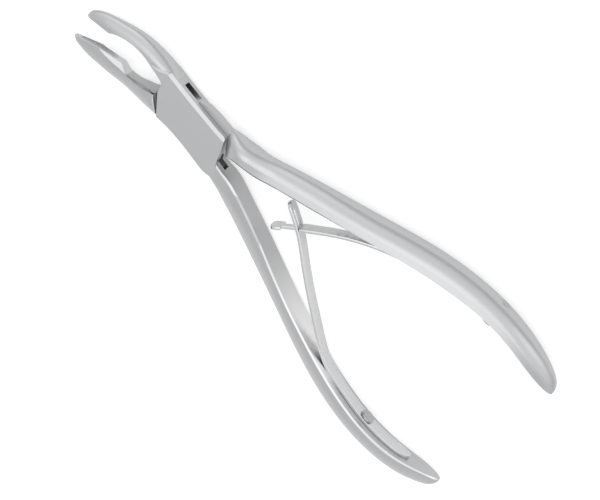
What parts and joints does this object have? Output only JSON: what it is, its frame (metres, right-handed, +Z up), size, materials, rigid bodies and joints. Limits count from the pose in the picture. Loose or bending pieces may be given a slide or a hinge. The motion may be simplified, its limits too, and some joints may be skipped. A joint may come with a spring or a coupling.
{
  "type": "bone rongeur",
  "caption": "Box-lock bone rongeur with two curved spoon-cup jaws, long rounded handles and a pair of interlocking leaf springs between them.",
  "frame": {"origin": "middle of the underside of the instrument lying open on its side", "axes": "+X along the instrument towards the jaws, +Y towards the handle of the half with the slotted box, +Z up along the joint pin"},
  "size_m": [0.156, 0.0621, 0.0095],
  "materials": {
    "forged_steel": "satin stainless steel with fine grinding lines",
    "spring_steel": "satin spring steel, polished edges",
    "pin_steel": "satin stainless steel, ground flush"
  },
  "bodies": {
    "box_half": {"box_half": "forged_steel", "joint_pin": "pin_steel", "screw_slotted_leaf": "pin_steel"},
    "inner_half": {"inner_half": "forged_steel", "screw_headed_leaf": "pin_steel"},
    "slotted_leaf": {"leaf_slotted": "spring_steel"},
    "headed_leaf": {"leaf_headed": "spring_steel"}
  },
  "joints": [
    {"name": "pivot", "type": "hinge", "parent": "box_half", "child": "inner_half", "pos_m": [0.0376, 0, 0.00479], "axis": [0, 0, -1], "range_deg": [0, 9.6], "stiffness_Nm_per_rad": 1.6, "springref_deg": -3.44},
    {"name": "slotted_leaf_bend", "type": "hinge", "parent": "box_half", "child": "slotted_leaf", "pos_m": [-0.0339, 0.0215, 0.00479], "axis": [0, 0, 1], "range_deg": [0, 5.8], "deforming": ["leaf_slotted"]},
    {"name": "headed_leaf_bend", "type": "hinge", "parent": "inner_half", "child": "headed_leaf", "pos_m": [-0.0339, -0.0215, 0.00479], "axis": [0, 0, -1], "range_deg": [0, 5.8], "deforming": ["leaf_headed"]}
  ],
  "couplings": [
    {"joint": "slotted_leaf_bend", "follows": "pivot", "ratio": 0.6},
    {"joint": "headed_leaf_bend", "follows": "pivot", "ratio": 0.6}
  ]
}
